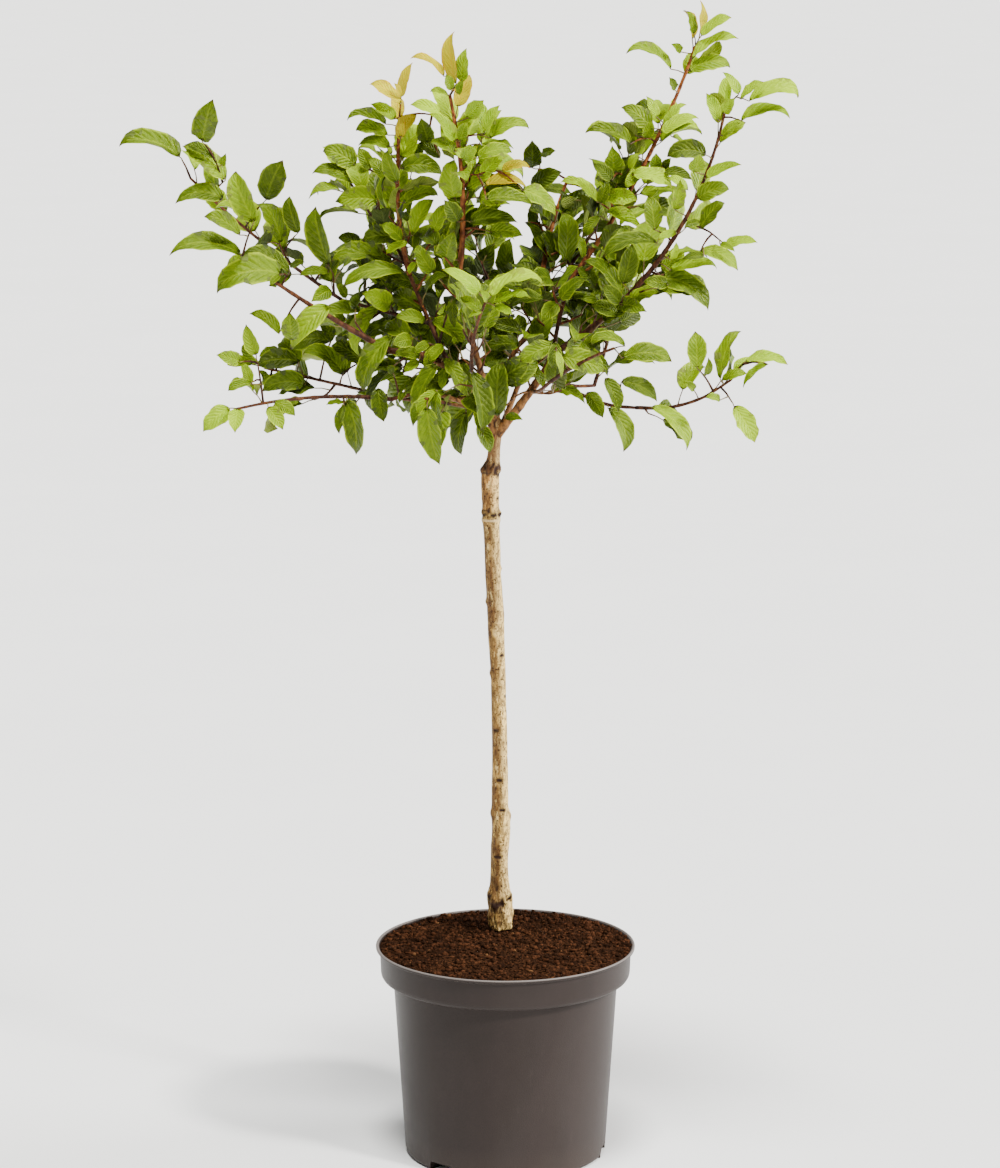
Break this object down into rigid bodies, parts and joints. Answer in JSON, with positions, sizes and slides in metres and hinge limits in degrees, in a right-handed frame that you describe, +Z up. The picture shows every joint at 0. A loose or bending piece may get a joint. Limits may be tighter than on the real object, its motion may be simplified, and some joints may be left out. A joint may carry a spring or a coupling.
{
  "type": "potted apricot tree",
  "caption": "Young stem-grown fruit tree with a loose round crown of folded green leaves on a slim bare trunk, standing in a tapered plastic nursery pot of soil.",
  "frame": {"origin": "centre of the pot's flat underside, on the pot's axis", "axes": "+Z up along the pot's axis; -Y towards the front, the side that the picture shows; +X to the viewer's right"},
  "size_m": [0.6003, 0.4623, 1.0567],
  "materials": {
    "pot_plastic": "dark taupe-grey moulded polypropylene with a satin sheen",
    "soil": "dark brown crumbly peat potting mix, moist",
    "trunk_bark": "tan bark with brown flecks, warmer and smoother near the fork",
    "bough_bark": "smooth purple-brown young bark, red-brown on the newest shoots",
    "foliage": "glossy mid-green leaves, yellow-green at the shoot tips"
  },
  "bodies": {
    "root": {"pot": "pot_plastic", "soil": "soil", "trunk": "trunk_bark", "bough_right": "bough_bark", "bough_left": "bough_bark", "bough_leader": "bough_bark", "bough_centre": "bough_bark", "bough_back_right": "bough_bark", "bough_back_left": "bough_bark", "bough_right_low": "bough_bark", "bough_right_top": "bough_bark", "bough_left_top": "bough_bark", "bough_left_far": "bough_bark", "bough_left_peak": "bough_bark", "bough_left_low": "bough_bark", "bough_left_inner": "bough_bark", "bough_front": "bough_bark", "bough_front_low": "bough_bark", "bough_front_right": "bough_bark", "bough_back": "bough_bark", "bough_back_low_left": "bough_bark", "bough_back_low_right": "bough_bark", "foliage_right": "foliage", "foliage_left": "foliage", "foliage_leader": "foliage", "foliage_centre": "foliage", "foliage_back_right": "foliage", "foliage_back_left": "foliage", "foliage_right_low": "foliage", "foliage_right_top": "foliage", "foliage_left_top": "foliage", "foliage_left_far": "foliage", "foliage_left_peak": "foliage", "foliage_left_low": "foliage", "foliage_left_inner": "foliage", "foliage_front": "foliage", "foliage_front_low": "foliage", "foliage_front_right": "foliage", "foliage_back": "foliage", "foliage_back_low_left": "foliage", "foliage_back_low_right": "foliage"}
  },
  "joints": []
}
